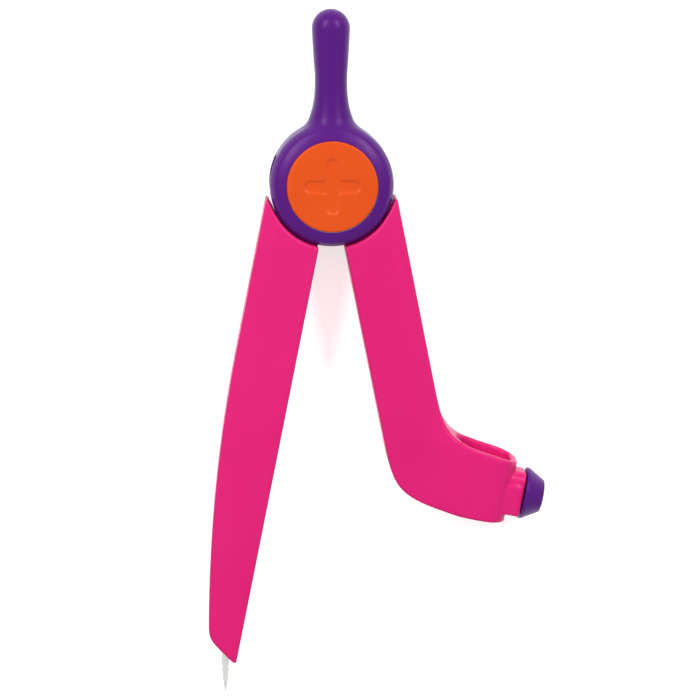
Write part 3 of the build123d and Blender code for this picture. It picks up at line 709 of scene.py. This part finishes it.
flat = height - size["Half thickness"]
face = ((reach - FACE_RING).with_leg(height + FACE_SUNK) - FACE_ARC).above(flat)
slope = (reach - size["Crease radius"]) * SLOPE_OUT + (flat + size["Crease drop"]) * SLOPE_UP
upright = reach - size["Head radius"] + (-z + DRAFT_TOP).above(0.0) * size["Side draft"]
head = face.soft_above(slope, CREASE_SEAM).soft_above(upright, SIDE_SEAM)
hull = head.soft_below(stem_shape(side, y, height, size), size["Seam"]).above(flat)
stops = (y - STOP_LEVEL + (side - STOP_HALF_WIDTH) * STOP_TANGENT) * STOP_COSINE
slot = stops.above(y - STOP_LEVEL).below(reach - size["Pocket radius"]).above(height - size["Slot half height"])
handle = grow_shape("handle_moulding", hull.soft_above(-slot, SLOT_SEAM), handle_sizes,
                    low=(-15, -15, -0.5), high=(15, 40.25, 14.5), voxel=0.25, finish=purple)

# %% [markdown]
# The caps sit in shallow recesses on both sides, with a deeper pocket for the pin's head and the hinge bore right
# through. One turned cutter does all of that. Six small ones make the blind holes for the caps' pegs.

# %% Handle's seats
BORE_RADIUS = 3.05
HINGE_SEATS = [                 # cap's recess, pin head's pocket and bore from the front, then the same behind
    (0, 16), (10.46, 16), (10.46, 12.23), (4.55, 12.23), (4.55, 11.41), (BORE_RADIUS, 11.41),
    (BORE_RADIUS, 2.59), (4.55, 2.59), (4.55, 1.77), (10.46, 1.77), (10.46, -2), (0, -2),
]
PEG_CIRCLE = 7.8
PEG_TURNS = [math.radians(120 * third) for third in range(3)]
PEG_RADIUS, PEG_HOLE_RADIUS = 0.9, 0.92

seat_cutters = [turned_cutter(HINGE_SEATS)]
for turn in PEG_TURNS:
    place = Matrix.Rotation(turn, 4, "Z") @ Matrix.Translation((PEG_CIRCLE, 0, 0))
    seat_cutters.append(drill(PEG_HOLE_RADIUS, 13, 10.91, place, steps=24))
    seat_cutters.append(drill(PEG_HOLE_RADIUS, 3.09, 1, place, steps=24))
cut_away(handle, seat_cutters)

# %% [markdown]
# ## The front cap
#
# The orange cap hides the hinge pin. Its face is a very shallow dome with a cross sunk into it. The sink's walls and
# lips are soft, so they only show as faint shading. The cap's rounded rim catches a thin line of light all round,
# which is partly real shading of the rounding and partly painted highlight in the orange's pale edge colour.
# Two crossed arms with round, slightly narrower ends make the cross. Three pegs hold the cap in the handle.

# %% Front cap
CROSS_SEAM = 0.9                # rounds the four inner corners of the cross
PEG_ROOT, PEG_END = 12.6, 10.95

cap_sizes = {"Radius": 10.4, "Rim height": 14.0, "Dome": 0.23, "Floor": 12.25, "Rim rounding": 0.6, "Arm length": 6.25,
             "Root half width": 1.5, "Tip half width": 1.22, "Sink": 0.26, "Lips": 0.5}
tree, size, (x, y, z) = start_shape("front_cap_shape", cap_sizes)
reach = x.with_leg(y)
dome = z - size["Rim height"] - size["Dome"] + reach * reach * (cap_sizes["Dome"] / cap_sizes["Radius"] ** 2)


def cross_arm(along, across):
    """Distance to one arm: a bar that narrows to a round tip."""
    past_tip = (along.size() - size["Arm length"] + size["Tip half width"]).above(0.0)
    narrowing = (size["Root half width"] - size["Tip half width"]) * (1 / cap_sizes["Arm length"])
    return across.size().with_leg(past_tip) - size["Root half width"] + along.size() * narrowing


cross = cross_arm(x, y).soft_below(cross_arm(y, x), CROSS_SEAM)
sunk = cross.soft_above(-dome - size["Sink"], size["Lips"])
cap = dome.soft_above(reach - size["Radius"], size["Rim rounding"]).above(-z + size["Floor"])
cap = cap.soft_above(-sunk, size["Lips"])
for turn in PEG_TURNS:
    peg = (x - PEG_CIRCLE * math.cos(turn)).with_leg(y - PEG_CIRCLE * math.sin(turn)) - PEG_RADIUS
    cap = cap.below(peg.above(z - PEG_ROOT).above(-z + PEG_END))
front_cap = grow_shape("front_cap_moulding", cap, cap_sizes,
                       low=(-10.8, -10.8, 10.6), high=(10.8, 10.8, 14.6), voxel=0.2, finish=orange)
cut_away(front_cap, [])

# %% [markdown]
# ## What the two legs share
#
# Both legs are mirror images down to the knee, so each is written in its own frame: u runs across from the inner
# edge, v up along the leg and z through its thickness. The shoulder is hollowed to swing round the head with a
# little air, and its front edge is a little rounded there, which leaves a dark crease between leg and head. A
# sloping facet runs down the outer edge. The back is cored out behind a skin, because thick plastic sinks as it
# cools, and zigzag ribs keep it stiff.

# %% Parts of a leg
LEG_TURN = math.radians(11.25)      # each leg's inner edge to the compass's middle line
FRONT, BACK = 12.3, 1.7             # heights of a leg's two faces
LEG_VOXEL = 0.33
SHOULDER, SHOULDER_DRAFT = 14.35, 0.025     # radius of the hollow end that swings round the head, and its lean
SHOULDER_SEAM, FACET_SEAM, INNER_SEAM, HORN_SEAM, CORE_SEAM = 1.2, 0.5, 0.3, 0.5, 0.3
FACET_UP, FACET_OUT, FACET_WIDTH = 0.967, 0.245, 4.3    # the way the facet faces, and its width
HORN_POINT, HORN_FACES = (13.3, -6.3), (-0.772, 0.637)  # a point of the horn's inner side, and the way it faces
HORN_ROOT, HORN_TIP = -8.6, -6.1


def horn(u, v):
    """Trims the tip that wraps round the head, so that it stands off the head a little."""
    inner_side = (u - HORN_POINT[0]) * HORN_FACES[0] + (v - HORN_POINT[1]) * HORN_FACES[1]
    return inner_side.below(v - HORN_ROOT).above(v - HORN_TIP)


def leg_slab(z, reach, outer, fade):
    """Front and back of a leg, with a facet along its outer edge and a slightly rounded shoulder at the head."""
    facet = (z - FRONT - fade) * FACET_UP + (outer + FACET_WIDTH) * FACET_OUT
    shoulder = -reach + SHOULDER + (z - DRAFT_TOP).below(0.0) * SHOULDER_DRAFT
    return (z - FRONT).soft_above(facet, FACET_SEAM).soft_above(shoulder, SHOULDER_SEAM).above(-z + BACK)


print("legs stand", round(2 * math.degrees(LEG_TURN), 1), "degrees apart")

# %% [markdown]
# The core, its ribs and the tongues can only be seen from behind or with the legs wide open. The ribs' zigzag is one
# Math node that folds the distance along the leg back and forth.

# %% Inside of a leg
SHELL = 1.8                         # walls left by the cored back
SKIN_BACK = 9.7                     # height of the core's floor, behind the front skin
CORE_TOP = -16.5
RIB_PITCH, RIB_SWING = 11.0, 10.35  # one rib's length along the leg, and across it
RIB_COSINE, RIB_HALF = 0.728, 0.6   # a rib's slant and half thickness
TONGUE_RADIUS, TONGUE_EDGE = 9.5, 0.15


def zigzag(v):
    """How far a rib has swung across the leg at this height."""
    return (v - CORE_TOP).math("PINGPONG", RIB_PITCH) * (RIB_SWING / RIB_PITCH)


def cored_back(plan, z, ribs_at, v, end):
    """Hollow behind the front skin, with zigzag ribs left standing."""
    rib = (ribs_at.size() * RIB_COSINE - RIB_HALF).above(-v - end)
    return (plan + SHELL).above(v - CORE_TOP).above(z - SKIN_BACK).above(-rib)


def tongue(u, v, reach, z, low, high):
    """The thin disc and strap that lie between the head's cheeks."""
    strap = (u - TONGUE_RADIUS).above(-u + TONGUE_EDGE).above(v).above(-v + CORE_TOP)
    return (reach - TONGUE_RADIUS).below(strap).above(z - high).above(-z + low)


print("a rib is", 2 * RIB_HALF, "mm thick")

# %% [markdown]
# ## The needle leg
#
# It runs straight, then its outer edge bends slowly inwards on a very large circle, and it ends in a slanting cut
# with a well rounded corner. Its outer side leans inwards a little towards the back.

# %% Needle leg
SIDE_LEAN = 0.03                    # how much the outer side leans inwards, for each millimetre of depth
NEEDLE_INNER_EDGE = 0.15
CUT_OUT, CUT_DOWN = 0.5516, 0.8341  # the way the slanting cut faces
NEEDLE_RIBS_FROM, NEEDLE_CORE_END = 12.3, 98.5
NEEDLE_TONGUE = (4.6, 6.8)          # heights of the tongue's two sides

needle_sizes = {"Width": 14.16, "Bend": 42.0, "Bend radius": 351.5, "Tip width": 7.5, "Tip level": 109.8,
                "Length": 114.15, "Edge": 0.9, "Corner": 2.6}
tree, size, (x, v, z) = start_shape("needle_leg_shape", needle_sizes)
u = -x
reach = u.with_leg(v)
outer = (u - size["Width"] + size["Bend radius"]).with_leg((v + size["Bend"]).below(0.0)) - size["Bend radius"]
cut = ((u - size["Tip width"]) * CUT_OUT - (v + size["Tip level"]) * CUT_DOWN).above(-v - size["Length"])
plan = (outer + (-z + FRONT) * SIDE_LEAN).soft_above(cut, size["Corner"])
plan = plan.soft_above(-u + NEEDLE_INNER_EDGE, INNER_SEAM).soft_above(horn(u, v), HORN_SEAM)
body = leg_slab(z, reach, outer, 0.0).soft_above(plan, size["Edge"])
core = cored_back(plan, z, u - NEEDLE_RIBS_FROM + zigzag(v), v, NEEDLE_CORE_END).above(-v - NEEDLE_CORE_END)
body = body.soft_above(-core, CORE_SEAM).below(tongue(u, v, reach, z, *NEEDLE_TONGUE))
needle_leg = grow_shape("needle_leg_moulding", body, needle_sizes,
                        low=(-15, -114.9, 0.6), high=(0.9, 10.2, 13.4), voxel=LEG_VOXEL, finish=pink)
needle_leg.data.transform(Matrix.Rotation(-LEG_TURN, 4, "Z"))

# %% [markdown]
# The hinge bore and the ferrule's bore are cut after the leg has been turned into its place. The needle stands
# straight along Y, so its bore is a cutter laid over on its side.

# %% Needle leg's bores
NEEDLE_POINT = (-0.9, -122.85, MIDDLE)  # the needle's point, in the leg's own frame
FERRULE_BORE = 1.28

point = Matrix.Rotation(-LEG_TURN, 4, "Z") @ Vector(NEEDLE_POINT)
along_needle = Matrix.Translation(point) @ Matrix.Rotation(math.radians(-90), 4, "X")
ferrule_bore = drill(FERRULE_BORE, 6.65, 16.65, along_needle, steps=48)
cut_away(needle_leg, [drill(BORE_RADIUS, 0, 14), ferrule_bore])

# %% [markdown]
# ## The pencil leg
#
# The pencil leg ends in a foot that turns outwards into a ring. The ring is a short tube with a rounded D section: a
# round seat for the pencil at the leg and a squarer end at the clamp. It stands a little prouder than the leg, and
# the two flow into each other with no line between them. Its rim slopes and sinks a little more towards the clamp.
# The ring, the neck and the boss lie in the pencil's own frame, which leans outwards: a runs away from the leg and b
# up along the pencil.

# %% Pencil leg's foot and ring
HOLDER_LEAN = math.radians(22.75)
SEAT_CENTRE = 44.7                      # the round seat, along a
SCREW_LEVEL = -62.75                    # the clamp's screw, along b
RIM_LEVEL, RIM_AT = -54.5, 55.0         # the rim's height, and where it has that height
RIM_SLOPE, RIM_TILT = 0.08, 0.045       # its fall along a, and towards the front
SINK_AT, SINK_SEAM, SINK_SLOPE = 49.0, 6.0, 0.1     # its further fall towards the clamp
SOLE_CENTRE, SOLE_RADIUS = (39.0, -31.7), 56.0
PENCIL_INNER_EDGE = 0.12
FACET_END, FACET_FADE = 34.0, 0.12      # past this distance along a the facet fades out

pencil_sizes = {"Width": 14.1, "Knee": 11.0, "Heel": 7.0, "Edge": 0.9, "Ring half height": 6.0, "Ring end": 10.6,
                "Ring corner": 4.6, "Hole half height": 4.5, "Hole end": 8.85, "Hole corner": 2.5, "Flow": 1.6}
tree, size, (u, v, z) = start_shape("pencil_leg_shape", pencil_sizes)
a = u * math.cos(HOLDER_LEAN) - v * math.sin(HOLDER_LEAN)
b = u * math.sin(HOLDER_LEAN) + v * math.cos(HOLDER_LEAN)
reach = u.with_leg(v)
depth = z - MIDDLE
from_seat = a - SEAT_CENTRE


def d_section(half_height, end, corner):
    """Round towards the leg, a rounded box towards the clamp."""
    seat = from_seat.with_leg(depth) - half_height
    return where(from_seat.math("GREATER_THAN", 0.0), rounded_box(from_seat, depth, end, half_height, corner), seat)


rim = b - RIM_LEVEL + (a - RIM_AT) * RIM_SLOPE + (a - SINK_AT).soft_above(0.0, SINK_SEAM) * SINK_SLOPE
rim = rim + depth * RIM_TILT
sole = (u - SOLE_CENTRE[0]).with_leg(v - SOLE_CENTRE[1]) - SOLE_RADIUS
outer = (u - size["Width"]).soft_below(rim, size["Knee"])
inner = (-u + PENCIL_INNER_EDGE).soft_above(sole, size["Heel"])
plan = outer.soft_above(inner, INNER_SEAM).soft_above(horn(u, v), HORN_SEAM)
ring = d_section(size["Ring half height"], size["Ring end"], size["Ring corner"])
slab = leg_slab(z, reach, outer, (a - FACET_END).above(0.0) * FACET_FADE).above(from_seat)
body = slab.soft_below(ring, size["Flow"]).soft_above(plan, size["Edge"])
print("ring is", 2 * pencil_sizes["Ring half height"], "mm high")

# %% [markdown]
# The neck carries the clamp's nut behind a low arched boss. The tube's hole gets soft lips, and the back of the leg
# is cored like the other one, but only as far as the foot.

# %% Pencil leg
NECK_HALF_WIDTH, NECK_HALF_HEIGHT, NECK_CORNER = 5.3, 4.6, 2.4
NECK_START, NECK_END, NECK_SEAM, NECK_ROOT_SEAM = 52.0, 57.9, 0.6, 0.5
ARCH_AT, ARCH_RISE, ARCH_RADIUS = 55.75, 0.3, 2.05      # the boss's arch, along a and above the screw
BOSS_TOP, BOSS_FLOOR, BOSS_LENGTH, BOSS_SEAM, BOSS_ROOT_SEAM = 12.0, 9.0, 4.9, 0.8, 0.9
HOLE_LIPS = 1.0
PENCIL_RIBS_FROM, PENCIL_RIBS_END, PENCIL_CORE_END = 1.95, 71.5, 36.4
PENCIL_TONGUE = (7.2, 9.45)         # heights of the tongue's two sides

from_screw = b - SCREW_LEVEL
neck = rounded_box(from_screw, depth, NECK_HALF_WIDTH, NECK_HALF_HEIGHT, NECK_CORNER)
neck = neck.soft_above(a - NECK_END, NECK_SEAM).above(-a + NECK_START)
above_arch = from_screw - ARCH_RISE
arch = where(above_arch.math("GREATER_THAN", 0.0), (a - ARCH_AT).with_leg(above_arch), (a - ARCH_AT).size())
boss = (arch - ARCH_RADIUS).soft_above(z - BOSS_TOP, BOSS_SEAM).above(-z + BOSS_FLOOR).above(-from_screw - BOSS_LENGTH)
body = body.soft_below(neck, NECK_ROOT_SEAM).soft_below(boss, BOSS_ROOT_SEAM)
body = body.soft_above(-d_section(size["Hole half height"], size["Hole end"], size["Hole corner"]), HOLE_LIPS)
core = cored_back(plan, z, u - PENCIL_RIBS_FROM - zigzag(v), v, PENCIL_RIBS_END).above(a - PENCIL_CORE_END)
body = body.soft_above(-core, CORE_SEAM).below(tongue(u, v, reach, z, *PENCIL_TONGUE))
pencil_leg = grow_shape("pencil_leg_moulding", body, pencil_sizes,
                        low=(-0.9, -85.8, 0.6), high=(32.1, 10.2, 13.5), voxel=LEG_VOXEL, finish=pink)
pencil_leg.data.transform(Matrix.Rotation(LEG_TURN, 4, "Z"))

# %% [markdown]
# The hinge bore, the screw's way and the nut's pocket are cut. The pocket is open towards the sole, which is how the
# nut gets in.

# %% Pencil leg's bores
SCREW_WAY = 2.25
NUT_POCKET = (54.505, -69.5, 3.45), (56.805, -59.2, 10.55)

holder = Matrix.Rotation(LEG_TURN - HOLDER_LEAN, 4, "Z")
along_screw = holder @ Matrix.Translation((0, SCREW_LEVEL, MIDDLE)) @ Matrix.Rotation(math.radians(90), 4, "Y")
screw_way = drill(SCREW_WAY, 50, 60, along_screw, steps=48)
cut_away(pencil_leg, [drill(BORE_RADIUS, 0, 14), screw_way, box_cutter(*NUT_POCKET, holder)])

# %% [markdown]
# ## Putting it together
#
# The grown mouldings ride on their bodies and stand for the plain solids, which stay behind as collision shapes.
# The other solids are turned and stamped parts whose exact shapes are already right, so they only get a finish, by
# putting it in their material slots.

# %% Pieces and finishes
for piece, body_name, node_name, slot_name in (
    (handle, "handle", "handle_housing", "purple_plastic"),
    (front_cap, "handle", "front_cap", "orange_plastic"),
    (needle_leg, "needle_leg", "needle_leg", "pink_plastic"),
    (pencil_leg, "pencil_leg", "pencil_leg", "pink_plastic"),
):
    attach(piece, body_name)
    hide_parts(node_name)

finishes = {"purple_plastic": purple, "orange_plastic": orange, "pink_plastic": pink, "steel": steel,
            "washer_plastic": milky}
for subpart in frame["record"]["subparts"]:
    for slot in frame["nodes"][subpart["node"]].material_slots:
        slot.material = finishes[subpart["material_slot"]]
print("finished", len(frame["nodes"]), "solids and 4 grown mouldings")

# %% [markdown]
# ## The size
#
# The looks must not change the size of the thing.
